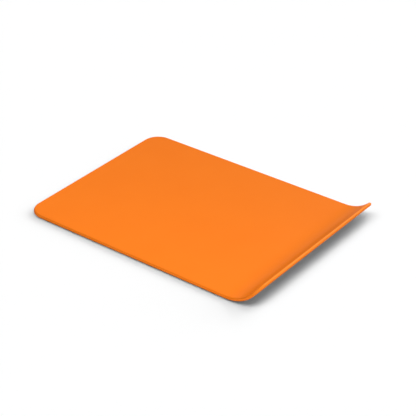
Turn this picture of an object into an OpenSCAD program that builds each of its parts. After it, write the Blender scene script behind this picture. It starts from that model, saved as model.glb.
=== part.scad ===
// Flexible cutting mat: one soft sheet whose end sweeps up into a lip, standing on grip feet.
// +X runs along the mat towards the lip, +Y across it and +Z up.
// The origin is on the table, under the centre of the mat's box.

/* [Sheet] */
// Width of the mat, across the lip
mat_w = 280; // [200:5:360]
// Length that lies flat, from the plain end to the foot of the lip
flat_l = 338.5; // [260:0.5:460]
// Thickness of the sheet
sheet_t = 4.7; // [3.5:0.1:7]
// Corner radius at the plain end
end_corner_r = 24.5; // [12:0.5:40]

/* [Lip] */
// Radius of the lip's sweep, at the middle of the sheet
lip_r = 55; // [42:0.5:80]
// Angle that the sheet has turned through at the lip's edge
lip_angle = 59.5; // [45:0.5:75]
// Corner radius of the lip, measured along the sheet
lip_corner_r = 22; // [10:0.5:30]

/* [Grip feet] */
// Diameter of a grip foot where it leaves the sheet
foot_d = 11; // [8:0.5:16]
// How far a foot's plug flares outwards inside its seat, so that the seat holds it
foot_flare = 0.5; // [0.2:0.1:1]
// Depth that a foot is let into the underside
seat_depth = 1.5; // [1:0.1:2]
// Height that a foot holds the sheet off the table
foot_stand = 1.3; // [0.5:0.1:2]
// Rounding at the edge of a foot's sole
sole_round = 0.4; // [0.2:0.05:0.6]
// Gap between a foot and the wall of its seat
seat_gap = 0.05; // [0.02:0.01:0.1]
// Feet along the mat
foot_columns = 6; // [4:1:7]
// Feet across the mat
foot_rows = 5; // [3:1:7]
// Distance from the edges of the flat part to the outer feet
foot_margin = 28; // [22:1:40]

/* [Smoothness] */
// Facets round the half circle of the rim
rim_steps = 12; // [8:2:16]
// Facets round each corner
corner_steps = 16; // [8:2:24]
// Facets along the lip, up to where its corners begin
lip_steps = 16; // [8:2:24]

/* [Hidden] */
function foot_name(column, row) = str("grip_foot_", column, "_", row);
$fn = 64;

// The edge is a full round, so its radius is half the sheet's thickness
rim_r = sheet_t / 2;
// Lengths and angles along the middle of the sheet
degrees = 180 / PI;
lip_l = lip_r * lip_angle / degrees;
sheet_l = flat_l + lip_l;
// How far the lip reaches past its foot, to the outside of its rounded edge
lip_reach = lip_r * sin(lip_angle - rim_r / lip_r * degrees) + rim_r;
mat_l = flat_l + lip_reach;
// Height of the sheet's middle over the table
middle_z = foot_stand + rim_r;

// Places of the feet: even steps between the margins of the flat part
foot_step_x = (flat_l - 2 * foot_margin) / (foot_columns - 1);
foot_step_y = (mat_w - 2 * foot_margin) / (foot_rows - 1);
function foot_place(column, row) = [
    foot_margin + (column - 1) * foot_step_x - mat_l / 2,
    foot_margin + (row - 1) * foot_step_y - mat_w / 2
];

// Whole height of a foot, and its radius at height z over the table before its sole is rounded
foot_h = foot_stand + seat_depth;
function foot_r(z) = foot_d / 2 + (z - foot_stand) * foot_flare / seat_depth;

// Point that lies s along the sheet from its plain end, y across it, and h above its middle.
// Past the foot of the lip, the sheet's middle follows a circle of radius lip_r.
function on_sheet(s, y, h) =
    let (turn = max(0, s - flat_l) / lip_r * degrees)
    [
        min(s, flat_l) + (lip_r - h) * sin(turn) - mat_l / 2,
        y,
        lip_r - (lip_r - h) * cos(turn) + middle_z
    ];

// One side of the flat blank's outline, inset by d, from the plain end to the lip's edge.
// Both corners are arcs. Along the straight side, the lip has even stations.
function side_of_blank(d) =
    let (
        end_centre = [end_corner_r, mat_w / 2 - end_corner_r],
        lip_centre = [sheet_l - lip_corner_r, mat_w / 2 - lip_corner_r],
        straight_l = lip_centre.x - flat_l
    )
    concat(
        [
            for (i = [0 : corner_steps])
                let (a = 180 - 90 * i / corner_steps)
                end_centre + (end_corner_r - d) * [cos(a), sin(a)]
        ],
        [for (i = [0 : lip_steps - 1]) [flat_l + straight_l * i / lip_steps, mat_w / 2 - d]],
        [
            for (i = [0 : corner_steps])
                let (a = 90 - 90 * i / corner_steps)
                lip_centre + (lip_corner_r - d) * [cos(a), sin(a)]
        ]
    );

// One closed ring round the sheet: b turns round the rim, from 90 on the top face to -90 below it
function rim_ring(b) =
    let (side = side_of_blank(rim_r * (1 - cos(b))), h = rim_r * sin(b), last = len(side) - 1)
    concat(
        [for (p = side) on_sheet(p.x, p.y, h)],
        [for (i = [last : -1 : 0]) on_sheet(side[i].x, -side[i].y, h)]
    );

// Sheet as a skin over the rim's rings, closed by strips that run straight across each face
module sheet_blank() {
    rings = [for (k = [0 : rim_steps]) rim_ring(90 - 180 * k / rim_steps)];
    count = len(rings[0]);
    points = [for (ring = rings) each ring];
    rim_faces = [
        for (k = [0 : rim_steps - 1], i = [0 : count - 1])
            let (j = (i + 1) % count, upper = k * count, lower = upper + count)
            each [[upper + i, lower + i, upper + j], [upper + j, lower + i, lower + j]]
    ];
    last = rim_steps * count;
    face_strips = [
        for (i = [0 : count / 2 - 2])
            let (across = count - 1 - i)
            each [
                [i, i + 1, across - 1, across],
                [last + i, last + across, last + across - 1, last + i + 1]
            ]
    ];
    polyhedron(points, concat(rim_faces, face_strips), convexity = 4);
}

// Seat for one foot in the underside of the sheet: it flares upwards with the foot's plug
module foot_seat(column, row) {
    translate(concat(foot_place(column, row), 0))
        cylinder(r1 = foot_r(0) + seat_gap, r2 = foot_r(foot_h) + seat_gap, h = foot_h);
}

module mat_sheet() {
    color("darkorange")
        difference() {
            sheet_blank();
            for (column = [1 : foot_columns], row = [1 : foot_rows]) foot_seat(column, row);
        }
}

// Half section of a foot: a flared plug whose side runs on to the sole through a round
module foot_section() {
    lean = atan(foot_flare / seat_depth);
    round_x = foot_r(0) - sole_round * tan(45 - lean / 2);
    polygon([
        [0, 0],
        [round_x, 0],
        [round_x + sole_round * cos(lean), sole_round * (1 - sin(lean))],
        [foot_r(foot_h), foot_h],
        [0, foot_h]
    ]);
    translate([round_x, sole_round]) circle(sole_round);
}

module grip_foot(column, row) {
    color("dimgray")
        translate(concat(foot_place(column, row), 0))
            rotate_extrude() foot_section();
}

mat_sheet();
for (column = [1 : foot_columns], row = [1 : foot_rows])
    grip_foot(column, row);
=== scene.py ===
"""Looks of a flexible cutting mat: a soft sheet with a swept lip, its grip feet, and a studio.

The sizes and colours that a user would change are the settings below. Each operator makes one
kind of piece.
"""

import math

import bpy
import numpy as np
from bpy.props import FloatProperty, FloatVectorProperty, IntProperty, PointerProperty
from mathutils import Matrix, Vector


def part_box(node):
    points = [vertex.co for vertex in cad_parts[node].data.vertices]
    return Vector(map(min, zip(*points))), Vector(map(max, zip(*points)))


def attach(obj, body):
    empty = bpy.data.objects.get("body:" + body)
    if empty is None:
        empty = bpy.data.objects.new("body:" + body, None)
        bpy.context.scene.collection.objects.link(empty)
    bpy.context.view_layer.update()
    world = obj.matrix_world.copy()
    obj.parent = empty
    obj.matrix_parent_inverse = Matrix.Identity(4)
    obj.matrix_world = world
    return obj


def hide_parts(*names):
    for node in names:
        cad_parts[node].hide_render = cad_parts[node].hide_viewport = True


bl_info = {
    "name": "Flexible Cutting Mat",
    "version": (1, 0, 0),
    "blender": (4, 5, 0),
    "location": "3D View > Sidebar > Cutting Mat",
    "description": "Builds a cutting mat with a swept lip, its finishes, and a plain studio",
    "category": "Add Mesh",
}

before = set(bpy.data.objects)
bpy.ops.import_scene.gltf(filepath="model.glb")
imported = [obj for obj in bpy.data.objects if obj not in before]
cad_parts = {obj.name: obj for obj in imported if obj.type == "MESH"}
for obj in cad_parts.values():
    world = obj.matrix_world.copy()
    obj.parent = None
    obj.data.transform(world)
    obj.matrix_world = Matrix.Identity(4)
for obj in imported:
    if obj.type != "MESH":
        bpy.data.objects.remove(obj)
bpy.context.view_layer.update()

BODY = "root"
SHEET_NODE = "mat_sheet"
FOOT_NODES = sorted(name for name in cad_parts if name.startswith("grip_foot_"))
SHEET_LOW, SHEET_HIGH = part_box(SHEET_NODE)
FOOT_LOW, FOOT_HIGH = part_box(FOOT_NODES[0])

# Shading breaks where faces meet at more than this angle, which they do only at the seats
SHARP_ANGLE = math.radians(40)
# Size of the patches that each colour drifts over, in metres
PLASTIC_DRIFT = 0.06
RUBBER_DRIFT = 0.004
WHITE = (1, 1, 1, 1)
# Width of the camera's sensor, in millimetres
SENSOR_WIDTH = 36.0

# The mat and the floor have lamps of their own. Brightness is that of a white wall that faces the
# lamp, azimuth runs from +X, where the lip is, towards +Y, and every angle is in degrees.
MAT_SUNS = (
    {"name": "mat_side", "brightness": 0.12, "azimuth": 0, "elevation": 55, "width": 40},
    {"name": "mat_back", "brightness": 0.78, "azimuth": 90, "elevation": 32, "width": 40},
    {"name": "mat_edge", "brightness": 0.22, "azimuth": 62, "elevation": 50, "width": 14},
)
FLOOR_SUNS = (
    {"name": "floor_right_low", "brightness": 0.193, "azimuth": 45, "elevation": 16, "width": 30},
    {"name": "floor_back_low", "brightness": 0.386, "azimuth": 67.5, "elevation": 24, "width": 30},
    {"name": "floor_back", "brightness": 0.161, "azimuth": 90, "elevation": 33, "width": 30},
    {"name": "floor_back_high", "brightness": 0.189, "azimuth": 67.5, "elevation": 70, "width": 30},
    {"name": "floor_front", "brightness": 0.317, "azimuth": 270, "elevation": 56, "width": 30},
    {"name": "floor_front_high", "brightness": 0.299, "azimuth": 315, "elevation": 70, "width": 30},
)
MAT_SOFTBOX = {
    "name": "mat_front",
    "brightness": 0.62,
    "azimuth": 300,
    "elevation": 40,
    "size": 1.0,
    "distance": 1.0,
}


class MatShape(bpy.types.PropertyGroup):
    """Sizes of the sheet and its seats, and how finely its surface is divided"""

    width: FloatProperty(
        name="Width",
        description="Width of the mat, measured along the lip's edge",
        default=SHEET_HIGH.y - SHEET_LOW.y,
        min=0.1,
        unit="LENGTH",
    )
    length: FloatProperty(
        name="Length",
        description="Length over all, from the plain end to the outside of the lip's edge",
        default=SHEET_HIGH.x - SHEET_LOW.x,
        min=0.2,
        unit="LENGTH",
    )
    stand: FloatProperty(
        name="Stand",
        description="Height of the underside over the table",
        default=SHEET_LOW.z,
        min=0.0,
        unit="LENGTH",
    )
    thickness: FloatProperty(
        name="Thickness",
        description="Thickness of the sheet",
        default=0.0047,
        min=0.001,
        unit="LENGTH",
    )
    lip_radius: FloatProperty(
        name="Lip Radius",
        description="Radius of the lip's sweep, at the middle of the sheet",
        default=0.055,
        min=0.01,
        unit="LENGTH",
    )
    lip_angle: FloatProperty(
        name="Lip Angle",
        description="Angle that the sheet has turned through at the lip's edge",
        default=math.radians(59.5),
        min=0.1,
        subtype="ANGLE",
    )
    end_corner: FloatProperty(
        name="End Corner Radius",
        description="Corner radius at the plain end",
        default=0.0245,
        min=0.005,
        unit="LENGTH",
    )
    lip_corner: FloatProperty(
        name="Lip Corner Radius",
        description="Corner radius of the lip, measured along the sheet",
        default=0.022,
        min=0.005,
        unit="LENGTH",
    )
    face_margin: FloatProperty(
        name="Face Margin",
        description="Width of the narrow band between the rim and the grid of each face",
        default=0.0006,
        min=0.0001,
        unit="LENGTH",
    )
    seat_flare: FloatProperty(
        name="Seat Flare",
        description="How far a foot's seat widens from its mouth to its ceiling",
        default=0.0005,
        min=0.0,
        unit="LENGTH",
    )
    seat_gap: FloatProperty(
        name="Seat Gap",
        description="Gap between a foot and the wall of its seat",
        default=0.00005,
        min=0.0,
        unit="LENGTH",
    )
    rim_steps: IntProperty(
        name="Rim Steps",
        description="Faces round the half circle of the rim",
        default=20,
        min=4,
    )
    corner_steps: IntProperty(
        name="Corner Steps",
        description="Faces round each corner",
        default=32,
        min=4,
    )
    side_steps: IntProperty(
        name="Side Steps",
        description="Faces along the flat part, between its corners and the lip",
        default=40,
        min=1,
    )
    lip_steps: IntProperty(
        name="Lip Steps",
        description="Faces along the lip, up to where its corners begin",
        default=32,
        min=4,
    )
    across_steps: IntProperty(
        name="Across Steps",
        description="Faces across the mat",
        default=34,
        min=2,
    )
    seat_steps: IntProperty(
        name="Seat Steps",
        description="Faces round the wall of each seat",
        default=64,
        min=12,
    )


class MatFinish(bpy.types.PropertyGroup):
    """Colours and surface of the plastic sheet and the rubber feet"""

    plastic_light: FloatVectorProperty(
        name="Plastic, Light",
        description="Lighter tone of the orange plastic",
        default=(0.945, 0.2085, 0.0105),
        size=3,
        min=0.0,
        max=1.0,
        subtype="COLOR",
    )
    plastic_deep: FloatVectorProperty(
        name="Plastic, Deep",
        description="Deeper tone of the orange plastic",
        default=(0.935, 0.2015, 0.0095),
        size=3,
        min=0.0,
        max=1.0,
        subtype="COLOR",
    )
    plastic_grain: FloatProperty(
        name="Plastic Grain",
        description="Size of the moulded grain on the plastic",
        default=0.0007,
        min=0.0001,
        unit="LENGTH",
    )
    # Painted highlight: a lighter colour that the lip's raised edge takes in place of the light
    # line along it, between the heights below.
    plastic_painted_highlight: FloatVectorProperty(
        name="Plastic, Lit Edge",
        description="Tone of the lip's raised edge, where a lighter colour is painted as a highlight",
        default=(0.955, 0.248, 0.018),
        size=3,
        min=0.0,
        max=1.0,
        subtype="COLOR",
    )
    painted_highlight_low: FloatProperty(
        name="Lit Edge, Low",
        description="Height over the table where the lip's edge starts to lighten",
        default=0.021,
        min=0.0,
        unit="LENGTH",
    )
    painted_highlight_high: FloatProperty(
        name="Lit Edge, High",
        description="Height over the table where the lip's edge is lightest",
        default=0.0275,
        min=0.0,
        unit="LENGTH",
    )
    bounce_tone: FloatVectorProperty(
        name="Bounce Tone",
        description="Tone that the plastic has for the light it throws onto the floor and itself",
        default=(0.05, 0.054, 0.058),
        size=3,
        min=0.0,
        max=1.0,
        subtype="COLOR",
    )
    face_sheen: FloatProperty(
        name="Face Sheen",
        description="Strength of the sheen on the grained faces",
        default=0.2,
        min=0.0,
        max=1.0,
    )
    rim_sheen: FloatProperty(
        name="Rim Sheen",
        description="Strength of the sheen on the smooth rim",
        default=0.17,
        min=0.0,
        max=1.0,
    )
    rubber_light: FloatVectorProperty(
        name="Rubber, Light",
        description="Lighter tone of the grey rubber",
        default=(0.105, 0.105, 0.11),
        size=3,
        min=0.0,
        max=1.0,
        subtype="COLOR",
    )
    rubber_deep: FloatVectorProperty(
        name="Rubber, Deep",
        description="Deeper tone of the grey rubber",
        default=(0.075, 0.075, 0.08),
        size=3,
        min=0.0,
        max=1.0,
        subtype="COLOR",
    )
    rubber_grain: FloatProperty(
        name="Rubber Grain",
        description="Size of the moulded grain on the rubber",
        default=0.0004,
        min=0.0001,
        unit="LENGTH",
    )


class StudioSettings(bpy.types.PropertyGroup):
    """Camera, lamps and floor"""

    azimuth: FloatProperty(
        name="Azimuth",
        description="Direction of the camera round the mat, from -Y towards the lip",
        default=math.radians(37.383),
        subtype="ANGLE",
    )
    elevation: FloatProperty(
        name="Elevation",
        description="Angle of the camera above the table",
        default=math.radians(31.273),
        subtype="ANGLE",
    )
    distance: FloatProperty(
        name="Distance",
        description="Distance of the camera from the point that it looks at",
        default=1.9284,
        min=0.1,
        unit="LENGTH",
    )
    target: FloatVectorProperty(
        name="Target",
        description="Point that the camera looks at",
        default=(-0.003, 0.021, 0.0013),
        size=3,
        unit="LENGTH",
        subtype="XYZ",
    )
    lens: FloatProperty(
        name="Lens",
        description="Focal length of the camera, in millimetres",
        default=120.9,
        min=10.0,
    )
    mat_light: FloatProperty(
        name="Mat Light",
        description="Strength of the lamps that light the mat",
        default=1.0,
        min=0.0,
    )
    floor_light: FloatProperty(
        name="Floor Light",
        description="Strength of the lamps that light the floor and cast the mat's shadow",
        default=1.0,
        min=0.0,
    )
    sky_light: FloatProperty(
        name="Sky Light",
        description="Brightness that the light from all round gives to a white floor",
        default=0.05,
        min=0.0,
    )
    floor_colour: FloatVectorProperty(
        name="Floor Colour",
        description="Colour of the floor",
        default=(0.93, 0.93, 0.93),
        size=3,
        min=0.0,
        max=1.0,
        subtype="COLOR",
    )
    floor_glow: FloatProperty(
        name="Floor Glow",
        description="Brightness added to the floor as the camera sees it, so that it is white",
        default=0.01,
        min=0.0,
        max=1.0,
    )
    floor_size: FloatProperty(
        name="Floor Size",
        description="Width of the square floor",
        default=12.0,
        min=1.0,
        unit="LENGTH",
    )


def mat_shape():
    """The sheet's sizes, as the scene holds them."""
    return bpy.context.scene.cutting_mat_shape


def mat_finish():
    """The colours and surfaces, as the scene holds them."""
    return bpy.context.scene.cutting_mat_finish


def studio_settings():
    """The camera, lamps and floor, as the scene holds them."""
    return bpy.context.scene.cutting_mat_studio


def rim_radius(shape):
    """The edge is a full round, so its radius is half the sheet's thickness."""
    return shape.thickness / 2


def flat_length(shape):
    """Length that lies flat: the length over all, less how far the lip reaches past its foot.

    The lip's rounded edge is centred a rim's radius short of the end of the sweep, measured along
    the sheet, and reaches a rim's radius past that centre.
    """
    rim = rim_radius(shape)
    reach = shape.lip_radius * math.sin(shape.lip_angle - rim / shape.lip_radius) + rim
    return shape.length - reach


def on_sheet(shape, along, across, height):
    """Points of the bent sheet, as arrays of x, y and z.

    along runs from the plain end, on the middle of the sheet, and height is measured from that
    middle. Up to the foot of the lip, the sheet is flat. Past it, the middle follows a circle of
    lip_radius, and a point at a height over it lies nearer to the circle's centre by that height.
    """
    flat = flat_length(shape)
    turn = np.maximum(along - flat, 0) / shape.lip_radius
    arm = shape.lip_radius - height
    x = np.minimum(along, flat) + arm * np.sin(turn) - shape.length / 2
    z = shape.lip_radius - arm * np.cos(turn) + shape.stand + rim_radius(shape)
    x, y, z = np.broadcast_arrays(x, across, z)
    return np.stack([x, y, z], -1)


def side_of_blank(shape, inset):
    """One long side of the flat blank, drawn in by inset, as arrays of along and across.

    It is a quarter circle at the plain end, a straight line at even steps to the foot of the lip,
    a straight line at even steps up the lip, and a quarter circle at the lip's edge.
    """
    half = shape.width / 2
    flat = flat_length(shape)
    sheet = flat + shape.lip_radius * shape.lip_angle
    turn = np.linspace(0, math.pi / 2, shape.corner_steps + 1)
    end_along = shape.end_corner - (shape.end_corner - inset) * np.cos(turn)
    end_across = half - shape.end_corner + (shape.end_corner - inset) * np.sin(turn)
    lip_start = sheet - shape.lip_corner
    side_along = np.linspace(shape.end_corner, flat, shape.side_steps + 1)[1:]
    rise_along = np.linspace(flat, lip_start, shape.lip_steps + 1)[1:-1]
    lip_along = lip_start + (shape.lip_corner - inset) * np.sin(turn)
    lip_across = half - shape.lip_corner + (shape.lip_corner - inset) * np.cos(turn)
    straight = np.full(len(side_along) + len(rise_along), half - inset)
    along = np.concatenate([end_along, side_along, rise_along, lip_along])
    across = np.concatenate([end_across, straight, lip_across])
    return along, across


def border(grid):
    """The border of a grid of values, once round.

    It runs down the first column, along the last row, up the last column, and back.
    """
    return np.concatenate([grid[:, 0], grid[-1, 1:-1], grid[::-1, -1], grid[0, -2:0:-1]])


def face_grid(shape, inset):
    """A face of the blank, drawn in by inset, as grids of along and across.

    Row i holds the points of the side's station i, spread evenly from one long side to the other.
    """
    along, across = side_of_blank(shape, inset)
    spread = np.linspace(1, -1, shape.across_steps + 1)
    return np.repeat(along[:, None], len(spread), 1), across[:, None] * spread


def ring_faces(ring_count, ring_length):
    """Four-sided faces between each ring of points and the next, once round."""
    first = np.arange(ring_count - 1)[:, None] * ring_length
    step = np.arange(ring_length)
    here = first + step
    ahead = first + (step + 1) % ring_length
    return np.stack([here, ahead, ahead + ring_length, here + ring_length], -1).reshape(-1, 4)


def grid_faces(index):
    """Four-sided faces between neighbours in a grid of point numbers."""
    corners = [index[:-1, :-1], index[:-1, 1:], index[1:, 1:], index[1:, :-1]]
    return np.stack(corners, -1).reshape(-1, 4)


def sheet_surface(shape):
    """The sheet's closed skin, as points, four-sided faces, and each point's place on the rim.

    Rings run round the sheet. On the rim, a ring at angle b from the middle plane lies at a height
    of rim * sin(b), drawn in by rim * (1 - cos(b)), so the edge is a full round. One more ring lies
    just inside the rim on each face, and a grid fills the face within it. The place on the rim is
    cos(b), and 0 on the faces.
    """
    rim = rim_radius(shape)
    face_inset = rim + shape.face_margin
    angles = np.linspace(math.pi / 2, -math.pi / 2, shape.rim_steps + 1)
    insets = np.concatenate([[face_inset], rim * (1 - np.cos(angles)), [face_inset]])
    heights = np.concatenate([[rim], rim * np.sin(angles), [-rim]])
    rim_place = np.concatenate([[0], np.cos(angles), [0]])
    rings = []
    for inset, height in zip(insets, heights):
        along, across = face_grid(shape, inset)
        rings.append(on_sheet(shape, border(along), border(across), height))
    points = np.concatenate(rings)
    ring_count, ring_length = len(rings), len(rings[0])
    place = np.repeat(rim_place, ring_length)

    faces = [ring_faces(ring_count, ring_length)]
    along, across = face_grid(shape, face_inset)
    rows, columns = np.indices(along.shape)
    for ring, height in ((0, rim), (ring_count - 1, -rim)):
        inner = on_sheet(shape, along, across, height)[1:-1, 1:-1]
        numbers = len(points) + np.arange(inner[..., 0].size)
        index = np.zeros(along.shape, int)
        index[border(rows), border(columns)] = ring * ring_length + np.arange(ring_length)
        index[1:-1, 1:-1] = numbers.reshape(inner.shape[:2])
        points = np.concatenate([points, inner.reshape(-1, 3)])
        place = np.concatenate([place, np.zeros(len(numbers))])
        quads = grid_faces(index)
        faces.append(quads if height > 0 else quads[:, ::-1])
    return points, np.concatenate(faces), place


def make_mesh(name, points, faces):
    """A smooth-shaded mesh object of these points and faces, linked to the scene."""
    mesh = bpy.data.meshes.new(name)
    mesh.from_pydata(points.tolist(), [], [face.tolist() for face in faces])
    mesh.polygons.foreach_set("use_smooth", np.ones(len(mesh.polygons), bool))
    mesh.update()
    made = bpy.data.objects.new(name, mesh)
    bpy.context.scene.collection.objects.link(made)
    return made


def seat_cores(shape):
    """The space of every seat, as points and faces of closed cones that widen upwards.

    Each is two circles round a foot's own centre: one on the table, below the seat's mouth, and
    one at its ceiling. The radius changes evenly with height, by seat_flare over the seat's depth.
    """
    boxes = [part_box(name) for name in FOOT_NODES]
    centres = np.array([((low + high) / 2)[:2] for low, high in boxes])
    top_radius = (FOOT_HIGH.x - FOOT_LOW.x) / 2 + shape.seat_gap
    slope = shape.seat_flare / (FOOT_HIGH.z - shape.stand)
    heights = np.array([0.0, FOOT_HIGH.z])
    radii = top_radius - slope * (FOOT_HIGH.z - heights)
    turn = np.linspace(0, 2 * math.pi, shape.seat_steps, endpoint=False)
    circle = np.stack([np.cos(turn), np.sin(turn)], -1)
    flat = centres[:, None, None, :] + radii[None, :, None, None] * circle[None, None, :, :]
    height = np.broadcast_to(heights[None, :, None, None], flat.shape[:3] + (1,))
    points = np.concatenate([flat, height], -1).reshape(-1, 3)
    steps = np.arange(shape.seat_steps)
    ahead = (steps + 1) % shape.seat_steps
    wall = np.stack([steps, ahead, ahead + shape.seat_steps, steps + shape.seat_steps], -1)
    first = np.arange(len(centres)) * 2 * shape.seat_steps
    walls = (first[:, None, None] + wall).reshape(-1, 4)
    floors = first[:, None] + steps[::-1]
    ceilings = first[:, None] + steps + shape.seat_steps
    return points, list(walls) + list(floors) + list(ceilings)


def cut_away(piece, cutter):
    """Cuts the cutter's space out of the piece, and removes the cutter."""
    cut = piece.modifiers.new("Seats", "BOOLEAN")
    cut.operation = "DIFFERENCE"
    cut.solver = "EXACT"
    cut.object = cutter
    depsgraph = bpy.context.evaluated_depsgraph_get()
    finished = bpy.data.meshes.new_from_object(piece.evaluated_get(depsgraph))
    finished.name = piece.data.name
    piece.modifiers.clear()
    old, piece.data = piece.data, finished
    bpy.data.meshes.remove(old)
    cutter_mesh = cutter.data
    bpy.data.objects.remove(cutter)
    bpy.data.meshes.remove(cutter_mesh)


def add_node(tree, kind, values=None, **settings):
    """A new node with these settings, and these values in its unlinked inputs."""
    made = tree.nodes.new(kind)
    for key, value in settings.items():
        setattr(made, key, value)
    for key, value in (values or {}).items():
        made.inputs[key].default_value = value
    return made


def fill_group(tree, group, values):
    """A node of this group, whose unlinked inputs take these values."""
    return add_node(tree, "ShaderNodeGroup", values, node_tree=group)


def new_group(name, inputs, outputs):
    """A shader node group with named sockets, and its input and output nodes."""
    group = bpy.data.node_groups.new(name, "ShaderNodeTree")
    for socket, kind, value in inputs:
        made = group.interface.new_socket(socket, in_out="INPUT", socket_type=kind)
        if value is not None:
            made.default_value = value
    for socket, kind in outputs:
        group.interface.new_socket(socket, in_out="OUTPUT", socket_type=kind)
    return group, group.nodes.new("NodeGroupInput"), group.nodes.new("NodeGroupOutput")


def place_over_size(group, source):
    """The group's Vector over its Size, in which a noise of scale 1 has features of that size."""
    link = group.links.new
    per_metre = add_node(group, "ShaderNodeMath", {0: 1.0}, operation="DIVIDE")
    scaled = add_node(group, "ShaderNodeVectorMath", operation="SCALE")
    link(source.outputs["Size"], per_metre.inputs[1])
    link(source.outputs["Vector"], scaled.inputs[0])
    link(per_metre.outputs[0], scaled.inputs["Scale"])
    return scaled.outputs[0]


def moulded_grain_group():
    """Height of a fine, even moulded grain, and a mask that is 1 on its tops.

    Two layers of noise are added: pits of the grain's own size, and a softer swell three times as
    wide.
    """
    name = "Moulded Grain"
    if name in bpy.data.node_groups:
        return bpy.data.node_groups[name]
    inputs = [("Vector", "NodeSocketVector", None), ("Size", "NodeSocketFloat", 0.001)]
    outputs = [("Height", "NodeSocketFloat"), ("Tops", "NodeSocketFloat")]
    group, source, result = new_group(name, inputs, outputs)
    link = group.links.new
    pit_height = 0.6
    place = place_over_size(group, source)
    pits = add_node(group, "ShaderNodeTexNoise", {"Scale": 1.0, "Detail": 2.0, "Roughness": 0.55})
    swell = add_node(group, "ShaderNodeTexNoise", {"Scale": 0.33, "Detail": 1.0, "Roughness": 0.5})
    height = add_node(group, "ShaderNodeMath", {1: pit_height}, operation="MULTIPLY_ADD")
    tops = add_node(group, "ShaderNodeMapRange", {"From Min": 0.35, "From Max": 0.75})
    for noise in (pits, swell):
        link(place, noise.inputs["Vector"])
    link(pits.outputs["Fac"], height.inputs[0])
    link(swell.outputs["Fac"], height.inputs[2])
    link(height.outputs[0], result.inputs["Height"])
    link(pits.outputs["Fac"], tops.inputs["Value"])
    link(tops.outputs["Result"], result.inputs["Tops"])
    return group


def soft_mottle_group():
    """A colour that drifts slowly between two near tones, as pigment does in a moulding."""
    name = "Soft Mottle"
    if name in bpy.data.node_groups:
        return bpy.data.node_groups[name]
    inputs = [
        ("Vector", "NodeSocketVector", None),
        ("Size", "NodeSocketFloat", 0.05),
        ("Light Tone", "NodeSocketColor", None),
        ("Deep Tone", "NodeSocketColor", None),
    ]
    group, source, result = new_group(name, inputs, [("Color", "NodeSocketColor")])
    link = group.links.new
    place = place_over_size(group, source)
    clouds = add_node(group, "ShaderNodeTexNoise", {"Scale": 1.0, "Detail": 3.0, "Roughness": 0.5})
    drift = add_node(group, "ShaderNodeMapRange", {"From Min": 0.3, "From Max": 0.7})
    tone = add_node(group, "ShaderNodeMix", data_type="RGBA")
    link(place, clouds.inputs["Vector"])
    link(clouds.outputs["Fac"], drift.inputs["Value"])
    link(drift.outputs["Result"], tone.inputs["Factor"])
    link(source.outputs["Light Tone"], tone.inputs["A"])
    link(source.outputs["Deep Tone"], tone.inputs["B"])
    link(tone.outputs["Result"], result.inputs["Color"])
    return group


def painted_highlight_group():
    """A mask for the painted highlight on the lip's raised edge: a lighter colour painted in place
    of light.

    It rises smoothly from 0 at the height Low to 1 at High, times the place on the rim to a power
    that keeps it near the middle of the edge.
    """
    name = "Lit Edge"
    if name in bpy.data.node_groups:
        return bpy.data.node_groups[name]
    inputs = [
        ("Vector", "NodeSocketVector", None),
        ("Rim", "NodeSocketFloat", 0.0),
        ("Low", "NodeSocketFloat", 0.0),
        ("High", "NodeSocketFloat", 1.0),
    ]
    group, source, result = new_group(name, inputs, [("Mask", "NodeSocketFloat")])
    link = group.links.new
    narrowing = 4.0
    axes = add_node(group, "ShaderNodeSeparateXYZ")
    raised = add_node(group, "ShaderNodeMapRange", interpolation_type="SMOOTHSTEP")
    middle = add_node(group, "ShaderNodeMath", {1: narrowing}, operation="POWER")
    both = add_node(group, "ShaderNodeMath", operation="MULTIPLY")
    link(source.outputs["Vector"], axes.inputs[0])
    link(axes.outputs["Z"], raised.inputs["Value"])
    link(source.outputs["Low"], raised.inputs["From Min"])
    link(source.outputs["High"], raised.inputs["From Max"])
    link(source.outputs["Rim"], middle.inputs[0])
    link(raised.outputs["Result"], both.inputs[0])
    link(middle.outputs[0], both.inputs[1])
    link(both.outputs[0], result.inputs["Mask"])
    return group


def new_material(name):
    """An empty material, its node tree, and its output node."""
    made = bpy.data.materials.new(name)
    made.use_nodes = True
    made.node_tree.nodes.clear()
    return made, made.node_tree, made.node_tree.nodes.new("ShaderNodeOutputMaterial")


def drifting_colour(tree, place, size, light_tone, deep_tone):
    """A finish's colour, which drifts between two tones over about this size."""
    tones = {"Light Tone": (*light_tone, 1), "Deep Tone": (*deep_tone, 1)}
    mottle = fill_group(tree, soft_mottle_group(), {"Size": size, **tones})
    tree.links.new(place.outputs["Object"], mottle.inputs["Vector"])
    return mottle.outputs["Color"]


def add_grain(tree, place, shader, size, strength, depth, pit_roughness, top_roughness):
    """Gives the shader a moulded grain: a bump of this depth, and duller tops than pits."""
    grain = fill_group(tree, moulded_grain_group(), {"Size": size})
    bump = add_node(tree, "ShaderNodeBump", {"Strength": strength, "Distance": depth})
    roughness = {"To Min": pit_roughness, "To Max": top_roughness}
    gloss = add_node(tree, "ShaderNodeMapRange", roughness)
    link = tree.links.new
    link(place.outputs["Object"], grain.inputs["Vector"])
    link(grain.outputs["Height"], bump.inputs["Height"])
    link(grain.outputs["Tops"], gloss.inputs["Value"])
    link(gloss.outputs["Result"], shader.inputs["Roughness"])
    link(bump.outputs["Normal"], shader.inputs["Normal"])


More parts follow.
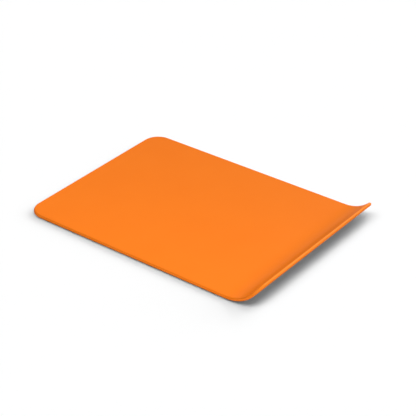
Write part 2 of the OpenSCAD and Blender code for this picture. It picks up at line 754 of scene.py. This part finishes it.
def mat_plastic():
    """Soft satin orange: pigment that drifts a little, a fine moulded grain, and a coat whose
    weight on the rim is its own.

    The lip's raised edge has a painted highlight: a lighter colour painted along it. A diffuse ray
    sees a neutral tone instead of the orange, so
    """
    finish = mat_finish()
    material, tree, output = new_material("mat_plastic")
    link = tree.links.new
    place = add_node(tree, "ShaderNodeTexCoord")
    rim = add_node(tree, "ShaderNodeAttribute", attribute_name="rim")
    light_path = add_node(tree, "ShaderNodeLightPath")
    tones = finish.plastic_light, finish.plastic_deep
    colour = drifting_colour(tree, place, PLASTIC_DRIFT, *tones)
    # Painted highlight: a lighter colour mixed into the base colour along the middle of the lip's
    # raised edge, high over the table.
    heights = {"Low": finish.painted_highlight_low, "High": finish.painted_highlight_high}
    edge = fill_group(tree, painted_highlight_group(), heights)
    tone = add_node(tree, "ShaderNodeMix", {"B": (*finish.plastic_painted_highlight, 1)}, data_type="RGBA")
    bounce = add_node(tree, "ShaderNodeMix", {"B": (*finish.bounce_tone, 1)}, data_type="RGBA")
    weights = {"To Min": finish.face_sheen, "To Max": finish.rim_sheen}
    sheen = add_node(tree, "ShaderNodeMapRange", weights)
    shader = add_node(
        tree,
        "ShaderNodeBsdfPrincipled",
        {"Specular IOR Level": 0.0, "Coat Roughness": 0.35, "Coat IOR": 1.5},
    )
    link(place.outputs["Object"], edge.inputs["Vector"])
    link(rim.outputs["Fac"], edge.inputs["Rim"])
    link(edge.outputs["Mask"], tone.inputs["Factor"])
    link(colour, tone.inputs["A"])
    link(light_path.outputs["Is Diffuse Ray"], bounce.inputs["Factor"])
    link(tone.outputs["Result"], bounce.inputs["A"])
    link(bounce.outputs["Result"], shader.inputs["Base Color"])
    link(rim.outputs["Fac"], sheen.inputs["Value"])
    link(sheen.outputs["Result"], shader.inputs["Coat Weight"])
    add_grain(
        tree,
        place,
        shader,
        size=finish.plastic_grain,
        strength=0.25,
        depth=0.00006,
        pit_roughness=0.6,
        top_roughness=0.7,
    )
    link(shader.outputs["BSDF"], output.inputs["Surface"])
    return material


def grip_rubber():
    """Matt dark grey rubber with a finer grain."""
    finish = mat_finish()
    material, tree, output = new_material("grip_rubber")
    link = tree.links.new
    place = add_node(tree, "ShaderNodeTexCoord")
    tones = finish.rubber_light, finish.rubber_deep
    colour = drifting_colour(tree, place, RUBBER_DRIFT, *tones)
    shader = add_node(tree, "ShaderNodeBsdfPrincipled", {"Specular IOR Level": 0.35})
    link(colour, shader.inputs["Base Color"])
    add_grain(
        tree,
        place,
        shader,
        size=finish.rubber_grain,
        strength=0.4,
        depth=0.00005,
        pit_roughness=0.7,
        top_roughness=0.85,
    )
    link(shader.outputs["BSDF"], output.inputs["Surface"])
    return material


def floor_finish():
    """Pale floor that the camera sees as white, and that keeps the mat's shadow."""
    studio = studio_settings()
    material, tree, output = new_material("studio_floor")
    link = tree.links.new
    matt = add_node(tree, "ShaderNodeBsdfDiffuse", {"Color": (*studio.floor_colour, 1)})
    seen = add_node(tree, "ShaderNodeLightPath")
    strength = add_node(tree, "ShaderNodeMath", {1: studio.floor_glow}, operation="MULTIPLY")
    glow = add_node(tree, "ShaderNodeEmission")
    both = add_node(tree, "ShaderNodeAddShader")
    link(seen.outputs["Is Camera Ray"], strength.inputs[0])
    link(strength.outputs[0], glow.inputs["Strength"])
    link(matt.outputs[0], both.inputs[0])
    link(glow.outputs[0], both.inputs[1])
    link(both.outputs[0], output.inputs["Surface"])
    return material


def lit_group(name, pieces):
    """A collection that names what a lamp lights. It isn't part of the scene."""
    group = bpy.data.collections.new(name)
    for piece in pieces:
        group.objects.link(piece)
    return group


def add_lamp(light, lit, azimuth, elevation, distance=1.0):
    """A lamp that the camera doesn't see, and that lights only the pieces in lit.

    It faces the origin. Its azimuth runs from +X towards +Y, and both angles are in degrees.
    """
    turn, rise = math.radians(azimuth), math.radians(elevation)
    flat = math.cos(rise)
    direction = Vector((math.cos(turn) * flat, math.sin(turn) * flat, math.sin(rise)))
    lamp = bpy.data.objects.new(light.name, light)
    bpy.context.scene.collection.objects.link(lamp)
    lamp.location = direction * distance
    lamp.rotation_euler = direction.to_track_quat("Z", "Y").to_euler()
    lamp.visible_camera = False
    lamp.light_linking.receiver_collection = lit


def add_sun(lit, level, name, brightness, azimuth, elevation, width):
    """A sun, which gives a white wall that faces it this brightness times the level."""
    light = bpy.data.lights.new(name, "SUN")
    light.energy = level * brightness * math.pi
    light.angle = math.radians(width)
    add_lamp(light, lit, azimuth, elevation)


def add_softbox(lit, level, name, brightness, azimuth, elevation, size, distance):
    """A square softbox, with its size and its distance from the origin in metres.

    Were it small, it would give a white wall that faces it at the origin this brightness times the
    level: the power for a brightness of 1 is pi squared times the square of the distance.
    """
    light = bpy.data.lights.new(name, "AREA")
    light.energy = level * brightness * (math.pi * distance) ** 2
    light.shape = "SQUARE"
    light.size = size
    add_lamp(light, lit, azimuth, elevation, distance)


def studio_world(sky_light):
    """Even light from all round, which the camera, gloss and glass see as plain white."""
    world = bpy.data.worlds.new("studio")
    world.use_nodes = True
    tree = world.node_tree
    tree.nodes.clear()
    link = tree.links.new
    seen = add_node(tree, "ShaderNodeLightPath")
    camera_or_gloss = add_node(tree, "ShaderNodeMath", operation="MAXIMUM")
    or_glass = add_node(tree, "ShaderNodeMath", operation="MAXIMUM")
    light = add_node(tree, "ShaderNodeBackground", {"Color": WHITE, "Strength": sky_light})
    white = add_node(tree, "ShaderNodeBackground", {"Color": WHITE, "Strength": 1.0})
    mix = add_node(tree, "ShaderNodeMixShader")
    output = add_node(tree, "ShaderNodeOutputWorld")
    link(seen.outputs["Is Camera Ray"], camera_or_gloss.inputs[0])
    link(seen.outputs["Is Glossy Ray"], camera_or_gloss.inputs[1])
    link(camera_or_gloss.outputs[0], or_glass.inputs[0])
    link(seen.outputs["Is Transmission Ray"], or_glass.inputs[1])
    link(or_glass.outputs[0], mix.inputs["Fac"])
    link(light.outputs[0], mix.inputs[1])
    link(white.outputs[0], mix.inputs[2])
    link(mix.outputs[0], output.inputs["Surface"])
    return world


def studio_camera(studio):
    """The camera, which looks at its target from this azimuth, elevation and distance."""
    lens = bpy.data.cameras.new("camera")
    lens.sensor_width = SENSOR_WIDTH
    lens.lens = studio.lens
    camera = bpy.data.objects.new("camera", lens)
    bpy.context.scene.collection.objects.link(camera)
    turn, rise = studio.azimuth, studio.elevation
    flat = math.cos(rise)
    back = Vector((math.sin(turn) * flat, -math.cos(turn) * flat, math.sin(rise)))
    camera.location = Vector(studio.target) + back * studio.distance
    camera.rotation_euler = (-back).to_track_quat("-Z", "Y").to_euler()
    return camera


class CUTTINGMAT_OT_sheet(bpy.types.Operator):
    """Builds the plastic sheet with its swept lip and the seats for the feet"""

    bl_idname = "cutting_mat.sheet"
    bl_label = "Build Sheet"

    def execute(self, context):
        shape = mat_shape()
        points, faces, place = sheet_surface(shape)
        sheet = make_mesh("sheet", points, faces)
        rim = sheet.data.attributes.new("rim", "FLOAT", "POINT")
        rim.data.foreach_set("value", place)
        cut_away(sheet, make_mesh("seat_cores", *seat_cores(shape)))
        sheet.data.set_sharp_from_angle(angle=SHARP_ANGLE)
        sheet.data.materials.append(mat_plastic())
        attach(sheet, BODY)
        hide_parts(SHEET_NODE)
        return {"FINISHED"}


class CUTTINGMAT_OT_grip_feet(bpy.types.Operator):
    """Gives the grip feet their rubber"""

    bl_idname = "cutting_mat.grip_feet"
    bl_label = "Finish Grip Feet"

    def execute(self, context):
        rubber = grip_rubber()
        for name in FOOT_NODES:
            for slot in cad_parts[name].material_slots:
                slot.material = rubber
        return {"FINISHED"}


class CUTTINGMAT_OT_studio(bpy.types.Operator):
    """Sets up the floor, the light and the camera"""

    bl_idname = "cutting_mat.studio"
    bl_label = "Set Up Studio"

    def execute(self, context):
        studio = studio_settings()
        half = studio.floor_size / 2
        corners = [[-half, -half, 0], [half, -half, 0], [half, half, 0], [-half, half, 0]]
        floor = make_mesh("studio_floor", np.array(corners), np.array([[0, 1, 2, 3]]))
        floor.data.materials.append(floor_finish())

        feet = [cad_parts[name] for name in FOOT_NODES]
        floor_lit = lit_group("lit_floor", [floor])
        mat_lit = lit_group("lit_mat", [bpy.data.objects["sheet"], *feet])
        for sun in MAT_SUNS:
            add_sun(mat_lit, studio.mat_light, **sun)
        for sun in FLOOR_SUNS:
            add_sun(floor_lit, studio.floor_light, **sun)
        add_softbox(mat_lit, studio.mat_light, **MAT_SOFTBOX)

        context.scene.world = studio_world(studio.sky_light)
        context.scene.camera = studio_camera(studio)
        context.scene.view_settings.view_transform = "Standard"
        return {"FINISHED"}


class CUTTINGMAT_PT_panel(bpy.types.Panel):
    """Lists the settings of the mat, and the steps that build it"""

    bl_idname = "CUTTINGMAT_PT_panel"
    bl_label = "Cutting Mat"
    bl_space_type = "VIEW_3D"
    bl_region_type = "UI"
    bl_category = "Cutting Mat"

    def draw(self, context):
        scene = context.scene
        for title, settings in (
            ("Sheet", scene.cutting_mat_shape),
            ("Finish", scene.cutting_mat_finish),
            ("Studio", scene.cutting_mat_studio),
        ):
            box = self.layout.box()
            box.label(text=title)
            for key in settings.bl_rna.properties.keys():
                if key not in ("name", "rna_type"):
                    box.prop(settings, key)
        for operator in OPERATORS:
            self.layout.operator(operator.bl_idname)


SETTINGS = {
    "cutting_mat_shape": MatShape,
    "cutting_mat_finish": MatFinish,
    "cutting_mat_studio": StudioSettings,
}
OPERATORS = (CUTTINGMAT_OT_sheet, CUTTINGMAT_OT_grip_feet, CUTTINGMAT_OT_studio)
CLASSES = (*SETTINGS.values(), *OPERATORS, CUTTINGMAT_PT_panel)


def register():
    for cls in CLASSES:
        bpy.utils.register_class(cls)
    for name, cls in SETTINGS.items():
        setattr(bpy.types.Scene, name, PointerProperty(type=cls))


def unregister():
    for name in SETTINGS:
        delattr(bpy.types.Scene, name)
    for cls in reversed(CLASSES):
        bpy.utils.unregister_class(cls)


def main():
    """Builds everything."""
    register()
    bpy.ops.cutting_mat.sheet()
    bpy.ops.cutting_mat.grip_feet()
    bpy.ops.cutting_mat.studio()


if __name__ == "__main__":
    main()
